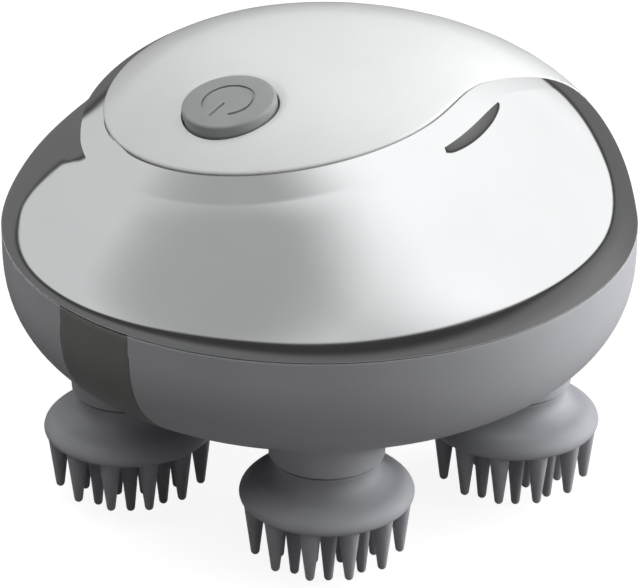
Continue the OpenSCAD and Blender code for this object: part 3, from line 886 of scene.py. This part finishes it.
def pad_outline():
    """Neck, hollow slope and round rim of the flange, from the top down to the underside."""
    points = [(0, PAD_TOP_Z - MM), (5 * MM, PAD_TOP_Z - MM), (5.2 * MM, PAD_TOP_Z), (8.8 * MM, PAD_TOP_Z)]
    neck = [(9.05, 19.5), (9.1, 19.3), (8.9, 18.95), (8.75, 18.5), (8.7, 18), (8.78, 17.5), (9, 17)]
    slope = [(9.35, 16.55), (9.85, 16.15), (10.45, 15.75), (11.1, 15.45), (11.7, 15.25), (12.3, 15.07)]
    shoulder = [(12.8, 14.85), (13.25, 14.55), (13.65, 14.2), (14, 13.85), (14.28, 13.5)]
    rim = [(14.46, 13.15), (14.55, 12.8), (14.53, 12.5), (14.45, 12.25)]
    points += [(r * MM, z * MM) for r, z in neck + slope + shoulder + rim]
    return points + [(UNDER_R, PAD_UNDER_Z)]


def finger_outline(tip_z):
    """A finger from its filleted root down to its round tip."""
    root = []
    tip = []
    for b in quarter(5):
        root.append((FINGER_ROOT_R + ROOT_FILLET * (1 - math.sin(b)) - ROOT_TRIM,
                     PAD_UNDER_Z - ROOT_FILLET * (1 - math.cos(b))))
        tip.append((FINGER_TIP_R * math.cos(b), tip_z + FINGER_TIP_R * (1 - math.sin(b))))
    (root_r, root_z), (tip_r, first_z) = root[-1], tip[0]
    middle = []
    for j in range(1, SHAFT_STEPS):
        w = j / SHAFT_STEPS
        middle.append((root_r + (tip_r - root_r) * w, root_z + (first_z - root_z) * w))
    return root + middle + tip

# %% One silicone head
parts = [turn_outline(f"silicone_head_{HEADS}", pad_outline(), 96)]
for count, row_r, tip_z in FINGER_ROWS:
    finger = turn_outline("finger", finger_outline(tip_z), 24)
    for i in range(count):
        a = 2 * math.pi * i / count
        copy = finger.copy()
        copy.data = finger.data.copy()
        copy.data.transform(Matrix.Translation((row_r * math.cos(a), row_r * math.sin(a), 0)))
        bpy.context.scene.collection.objects.link(copy)
        parts.append(copy)
    bpy.data.objects.remove(finger)
take(*parts)
bpy.ops.object.join()
head = bpy.context.object

# The roots of the outer row stay just inside the rim
root_limit = UNDER_R - RIM_KEEP
for point in head.data.vertices:
    reach = math.hypot(point.co.x, point.co.y)
    on_rim = abs(reach - UNDER_R) <= TOUCH
    if reach > root_limit and point.co.z < PAD_UNDER_Z + 10 * TOUCH and not on_rim:
        point.co.x *= root_limit / reach
        point.co.y *= root_limit / reach
bpy.ops.object.mode_set(mode="EDIT")
bpy.ops.mesh.select_all(action="DESELECT")
bpy.ops.mesh.select_non_manifold()
bpy.ops.mesh.fill(use_beauty=True)
bpy.ops.object.mode_set(mode="OBJECT")
print(f"one head: {len(head.data.polygons)} faces")

# %% [markdown]
# The five heads come from the same mould. So the first four are copies, each with a mesh of its own,
# and the head made above goes to the last place.

# %% Five heads
for k in range(1, HEADS + 1):
    pad = head
    if k < HEADS:
        pad = head.copy()
        pad.name = f"silicone_head_{k}"
        pad.data = head.data.copy()
        bpy.context.scene.collection.objects.link(pad)
    a = head_angle(k)
    pad.data.transform(Matrix.Translation((RING_R * math.cos(a), RING_R * math.sin(a), 0)))
    weld(pad, 40)
    settle(pad, f"head_{k}", "silicone_grey", f"massage_pad_{k}")

# %% [markdown]
# ## Materials
# Colours are written as the usual hex values and turned to linear light by one function. One small
# function adds a node, sets its settings and joins its inputs. A real surface is never quite even, so
# every finish here is made of three noises: its two tones drift in wide patches, its roughness
# wanders in smaller ones, and the third raises its grain or its ripple. A value that is the same all
# over is set on the shader's own socket.

# %% Helpers for materials
def linear(hex_colour):
    """Turns a hex colour such as #88898E to linear light, with an alpha of 1."""
    channels = [int(hex_colour[i:i + 2], 16) / 255 for i in (1, 3, 5)]
    return [c / 12.92 if c <= 0.04045 else ((c + 0.055) / 1.055) ** 2.4 for c in channels] + [1]


def add(tree, kind, inputs=None, **settings):
    """Adds a node, with its settings and with each input set or linked."""
    node = tree.nodes.new(kind)
    for name, value in settings.items():
        setattr(node, name, value)
    for socket, value in (inputs or {}).items():
        if isinstance(value, bpy.types.NodeSocket):
            tree.links.new(value, node.inputs[socket])
        else:
            node.inputs[socket].default_value = value
    return node


def new_material(name):
    """An empty material, its tree and its principled shader."""
    material = bpy.data.materials.new(name)
    material.use_nodes = True
    return material, material.node_tree, material.node_tree.nodes["Principled BSDF"]


def surface(name, light, dark, patch, rough, wander, grain, height, values=None):
    """A finish from its tones, its range of roughness, the sizes of its three noises and its height."""
    material, tree, shader = new_material(name)
    place = add(tree, "ShaderNodeTexCoord").outputs["Object"]
    patches = add(tree, "ShaderNodeTexNoise", {"Vector": place, "Scale": 1 / patch, "Detail": 4.0})
    share = add(tree, "ShaderNodeMapRange", {
        "Value": patches.outputs["Fac"], "From Min": 0.35, "From Max": 0.65})
    tones = {"Factor": share.outputs["Result"], 6: linear(dark), 7: linear(light)}
    tone = add(tree, "ShaderNodeMix", tones, data_type="RGBA")
    wandering = add(tree, "ShaderNodeTexNoise", {"Vector": place, "Scale": 1 / wander, "Detail": 3.0})
    roughness = add(tree, "ShaderNodeMapRange", {
        "Value": wandering.outputs["Fac"], "From Min": 0.3, "From Max": 0.7,
        "To Min": rough[0], "To Max": rough[1]})
    grains = add(tree, "ShaderNodeTexNoise", {"Vector": place, "Scale": 1 / grain, "Detail": 3.0})
    bump = add(tree, "ShaderNodeBump", {
        "Height": grains.outputs["Fac"], "Distance": height, "Strength": 1.0})
    tree.links.new(tone.outputs[2], shader.inputs["Base Color"])
    tree.links.new(roughness.outputs["Result"], shader.inputs["Roughness"])
    tree.links.new(bump.outputs["Normal"], shader.inputs["Normal"])
    for socket, value in (values or {}).items():
        shader.inputs[socket].default_value = value
    return material


finish = {}

# %% [markdown]
# Chrome plating over polished ABS is almost a mirror. It is slightly cooler than silver, and the
# plastic under it leaves a ripple so faint that only straight reflections show it.

# %% Chrome plating
finish["chrome_plate"] = surface(
    "bright_chrome_plating", "#F1F2F3", "#EBECED", patch=30 * MM, rough=(0.05, 0.075), wander=9 * MM,
    grain=16 * MM, height=0.004 * MM, values={"Metallic": 1.0})

# %% [markdown]
# The cover is white ABS from a polished mould. It is glossy, but softer than lacquer, and the
# plastic is a little warmer where it is thick.

# %% White gloss ABS
finish["white_gloss"] = surface(
    "white_gloss_abs", "#EBECEC", "#E6E7E8", patch=25 * MM, rough=(0.16, 0.21), wander=6 * MM,
    grain=12 * MM, height=0.003 * MM, values={"IOR": 1.53})

# %% [markdown]
# The bowl has a soft-touch lacquer: a matt paint with tiny beads that scatter the light, so its
# highlights are wide and dim. The beads are about 0.05 mm; they are drawn three times coarser so
# that they show at all.

# %% Soft-touch lacquer
finish["soft_touch_grey"] = surface(
    "soft_touch_lacquer", "#B8B9BE", "#B3B4B9", patch=18 * MM, rough=(0.46, 0.54), wander=5 * MM,
    grain=0.16 * MM, height=0.006 * MM, values={"IOR": 1.5})

# %% [markdown]
# The strip is through-dyed ABS from a finely sparked mould: an even satin, without sparkle.

# %% Dark satin ABS
finish["inlay_dark"] = surface(
    "satin_dark_abs", "#7C7E7A", "#787A76", patch=14 * MM, rough=(0.4, 0.48), wander=4 * MM,
    grain=0.22 * MM, height=0.008 * MM, values={"IOR": 1.53})

# %% [markdown]
# The button is the same satin plastic in a mid grey, rubbed a little smoother by thumbs.

# %% Grey satin ABS
finish["button_grey"] = surface(
    "satin_grey_abs", "#9FA2A1", "#9A9D9C", patch=5 * MM, rough=(0.38, 0.5), wander=3 * MM,
    grain=0.2 * MM, height=0.007 * MM, values={"IOR": 1.53})

# %% [markdown]
# Silicone rubber is soft and slightly translucent. It comes from a blasted steel mould, so its skin
# is matt, and light that enters it blurs the edges of the fingers.

# %% Silicone rubber
finish["silicone_grey"] = surface(
    "moulded_silicone_rubber", "#AFB0B5", "#A8A9AE", patch=8 * MM, rough=(0.36, 0.46), wander=4 * MM,
    grain=0.25 * MM, height=0.008 * MM, values={
        "IOR": 1.41, "Subsurface Weight": 0.12, "Subsurface Scale": 1.0,
        "Subsurface Radius": (0.9 * MM, 0.85 * MM, 0.8 * MM)})

# %% [markdown]
# The pieces inside get the finish that they have on the bench: ground steel, sintered bronze,
# moulded acetal, glass-filled nylon, solder resist on the board and a printed film on the cell.
# They differ only in their tones, the size of their grain in mm, their roughness, whether they are
# metal, and the height of their grain in mm, so one row for each gives all of it.

# %% Materials of the inner pieces
INNER_FINISHES = (
    ("seal_black", "black_seal_rubber", "#3A3A3B", "#323233", 0.2, 0.55, 0.0, 0.01),
    ("steel", "ground_steel", "#BFC2C5", "#ADB0B3", 0.3, 0.28, 1.0, 0.004),
    ("bronze_bush", "sintered_bronze", "#B78F56", "#9E7843", 0.12, 0.42, 1.0, 0.01),
    ("acetal", "moulded_acetal", "#E2DED2", "#D9D5C8", 0.4, 0.34, 0.0, 0.004),
    ("black_nylon", "glass_filled_nylon", "#2E2E30", "#252527", 0.15, 0.5, 0.0, 0.01),
    ("board_green", "solder_resist", "#2F6B45", "#275C3A", 0.5, 0.25, 0.0, 0.006),
    ("cell_wrap", "printed_cell_film", "#3F6FA8", "#386498", 0.6, 0.3, 0.0, 0.003))
for slot, name, light, dark, grain, rough, metallic, height in INNER_FINISHES:
    finish[slot] = surface(
        name, light, dark, patch=20 * grain * MM, rough=(rough, rough + 0.1), wander=6 * grain * MM,
        grain=grain * MM, height=height * MM, values={"Metallic": metallic})
print(f"{len(finish)} finishes")

# %% Every piece gets its material
for subpart in frame["record"]["subparts"]:
    solid = nodes[subpart["node"]]
    for slot in solid.material_slots:
        slot.material = finish[subpart["material_slot"]]
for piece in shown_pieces():
    if "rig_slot" in piece and "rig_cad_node" not in piece:
        piece.data.materials.clear()
        piece.data.materials.append(finish[piece["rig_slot"]])

# %% [markdown]
# ## The studio
# The floor is a wide pale disc. Its diffuse part takes the shadow, and its glow makes it white to
# the camera and to mirrors, without throwing more light on the object.

# %% Floor
def seen_directly(tree):
    """1 for the camera and for rays from mirrors and glass, 0 for the light that falls on surfaces."""
    path = add(tree, "ShaderNodeLightPath")
    camera_or_mirror = add(tree, "ShaderNodeMath", {
        0: path.outputs["Is Camera Ray"], 1: path.outputs["Is Glossy Ray"]}, operation="ADD")
    seen = add(
        tree, "ShaderNodeMath", {0: camera_or_mirror.outputs[0], 1: path.outputs["Is Transmission Ray"]},
        operation="ADD", use_clamp=True)
    return seen.outputs[0]


bpy.ops.mesh.primitive_circle_add(vertices=96, radius=8, fill_type="NGON", location=(0, 0, -0.05 * MM))
floor = bpy.context.object
floor.name = "floor"
FLOOR_GLOW = 0.9
material, tree, shader = new_material("pale_floor")
tree.nodes.remove(shader)
glow = add(tree, "ShaderNodeMath", {0: seen_directly(tree), 1: FLOOR_GLOW}, operation="MULTIPLY")
diffuse = add(tree, "ShaderNodeBsdfDiffuse", {"Color": linear("#848484")})
emission = add(tree, "ShaderNodeEmission", {"Strength": glow.outputs[0]})
both = add(tree, "ShaderNodeAddShader", {0: diffuse.outputs[0], 1: emission.outputs[0]})
tree.links.new(both.outputs[0], tree.nodes["Material Output"].inputs["Surface"])
floor.data.materials.append(material)

# %% [markdown]
# A mirror shows whatever stands round it, so a studio sets dark cards low round chrome, which draw
# its lower edge as a dark band with a darker line on top. The card here is a bowl: from the middle
# of the object it fills each direction up to a curved edge. It stands high in front, where the
# chrome looks down its own flank, and low at the sides. CARD_EDGE gives the height of the edge for
# each direction, both in degrees, and directions are counted from the camera.

# %% Outline of the dark card
CARD_R = 0.6
CARD_EDGE = (
    (-180, 6), (-168, 9), (-152, 12), (-143, 9), (-137, 3), (-125, 2), (-110, 5), (-90, 13), (-70, 23),
    (-50, 31), (-30, 35), (-10, 35.5), (10, 34), (30, 31), (50, 26), (70, 20), (90, 15), (110, 11),
    (130, 8.5), (150, 8.5), (168, 4), (180, 6))
CARD_FOOT = -80
CARD_COLUMNS = 180
CARD_ROWS = 30
CARD_CROWDING = 1.8
FLOOR_CLEARANCE = 0.3 * MM
eye = Vector((0, 0, 60 * MM))


def card_direction(i, j):
    """Direction, edge and level of point (i, j). The rows crowd at the edge, where the line is."""
    turn = -180 + 360 * i / CARD_COLUMNS
    edge = ramp(turn, CARD_EDGE)
    return turn, edge, CARD_FOOT + (edge - CARD_FOOT) * (1 - (1 - j / CARD_ROWS) ** CARD_CROWDING)


def card_point(i, j):
    turn, edge, level = card_direction(i, j)
    a, e = CAMERA_AZIMUTH + math.radians(turn), math.radians(level)
    away = Vector((math.sin(a), -math.cos(a), math.tan(e)))
    reach = CARD_R if e >= 0 else min(CARD_R, (eye.z - FLOOR_CLEARANCE) / math.tan(-e))
    return eye + reach * away


card = wrap_grid("dark_card", CARD_COLUMNS, CARD_ROWS, card_point)

# %% [markdown]
# Each point of the card carries its own grey. LINE_WIDTH gives in degrees how far the dark line
# reaches under the edge, and LOW_LIGHT how much light lies low on the card, at the right. The edge
# fades, so that no reflection ends hard. Only reflections see the card.

# %% Greys of the card
LINE_WIDTH = ((-180, 4), (-120, 5), (-90, 8), (-40, 14), (10, 20), (60, 10), (90, 6), (110, 5), (180, 5))
LOW_LIGHT = ((-180, 0), (30, 0), (60, 0.15), (80, 0.3), (108, 0.3), (125, 0.1), (140, 0), (180, 0))
LINE_START, LINE_FADE = 0.4, 0.8
LOW_FADE = 15
EDGE_FADE = 1.8
CARD_GREY, LINE_DEPTH, LOW_GAIN = 0.15, 0.11, 0.28
greys = card.data.attributes.new("grey", "FLOAT_COLOR", "POINT")
index = 0
for j in range(CARD_ROWS + 1):
    for i in range(CARD_COLUMNS + 1):
        turn, edge, level = card_direction(i, j)
        width, below = ramp(turn, LINE_WIDTH), edge - level
        line = 1 - smooth_step((below / width - LINE_START) / LINE_FADE)
        low_light = ramp(turn, LOW_LIGHT) * smooth_step((below - width) / LOW_FADE)
        grey = CARD_GREY - LINE_DEPTH * line + LOW_GAIN * low_light
        greys.data[index].color = (grey, grey, grey, smooth_step(below / EDGE_FADE))
        index += 1
material, tree, shader = new_material("dark_card")
tree.nodes.remove(shader)
grey = add(tree, "ShaderNodeAttribute", attribute_name="grey")
shine = add(tree, "ShaderNodeEmission", {"Color": grey.outputs["Color"]})
clear = add(tree, "ShaderNodeBsdfTransparent")
soft_edge = add(tree, "ShaderNodeMixShader", {
    0: grey.outputs["Alpha"], 1: clear.outputs[0], 2: shine.outputs[0]})
tree.links.new(soft_edge.outputs[0], tree.nodes["Material Output"].inputs["Surface"])
card.data.materials.append(material)
card.visible_camera = False
card.visible_diffuse = False
card.visible_shadow = False
card.visible_transmission = False

# %% [markdown]
# The room lights the object softly from all round. What a mirror sees of it is not even: it is
# white to the right, where the window is, and light grey to the left, with a darker corner there.

# %% The room
AMBIENT = 0.09
ROOM, WINDOW, CORNER = 0.62, 0.46, -0.23
world = bpy.data.worlds.new("pale_room")
bpy.context.scene.world = world
world.use_nodes = True
tree = world.node_tree
tree.nodes.clear()
looking = add(tree, "ShaderNodeTexCoord").outputs["Generated"]
mirror = add(tree, "ShaderNodeLightPath").outputs["Is Glossy Ray"]


def lobe(turn, level, low, high):
    """1 in the middle of this direction and 0 outside, for the rays that mirrors send out."""
    facing = add(
        tree, "ShaderNodeVectorMath", {0: looking, 1: direction(turn, level)}, operation="DOT_PRODUCT")
    share = add(
        tree, "ShaderNodeMapRange", {"Value": facing.outputs["Value"], "From Min": low, "From Max": high},
        interpolation_type="SMOOTHSTEP")
    return share.outputs["Result"]


window = add(
    tree, "ShaderNodeMath", {0: lobe(110, 40, 0.35, 0.85), 1: WINDOW, 2: ROOM}, operation="MULTIPLY_ADD")
corner = add(
    tree, "ShaderNodeMath", {0: lobe(-56, 54, 0.72, 0.98), 1: CORNER, 2: window.outputs[0]},
    operation="MULTIPLY_ADD")
in_mirror = add(
    tree, "ShaderNodeMix", {"Factor": mirror, "A": 1.0, "B": corner.outputs[0]}, data_type="FLOAT")
strength = add(
    tree, "ShaderNodeMix",
    {"Factor": seen_directly(tree), "A": AMBIENT, "B": in_mirror.outputs["Result"]}, data_type="FLOAT")
light = add(tree, "ShaderNodeBackground", {
    "Color": linear("#FFFFFF"), "Strength": strength.outputs["Result"]})
add(tree, "ShaderNodeOutputWorld", {"Surface": light.outputs[0]})

# %% [markdown]
# Four soft boxes do the rest. The key is small and stands low and close on the right. A weak one
# fills the front and two hang high, one overhead and one to the left. Their square faces would show
# as hard patches in the chrome, and the key would stand in the way of some views, so neither
# reflections nor the camera see them.

# %% Lamps
def softbox(name, turn, level, distance, size, power):
    """A square lamp that looks at the object from this direction."""
    away = direction(turn, level)
    bpy.ops.object.light_add(type="AREA", location=aim + distance * away)
    lamp = bpy.context.object
    lamp.name = name
    lamp.rotation_mode = "QUATERNION"
    lamp.rotation_quaternion = away.to_track_quat("Z", "Y")
    lamp.data.size = size
    lamp.data.energy = power
    lamp.visible_glossy = False
    lamp.visible_camera = False


softbox("key_right", 104, 14, 0.45, 0.3, 2.3)
softbox("fill_front", 60, 30, 0.9, 0.6, 2)
softbox("top", 0, 85, 1.0, 0.7, 2)
softbox("top_left", -85, 62, 1.0, 0.7, 4.6)

# %% [markdown]
# ## Colours as they are
# The Standard view keeps every colour as written.

# %% View
bpy.context.scene.view_settings.view_transform = "Standard"
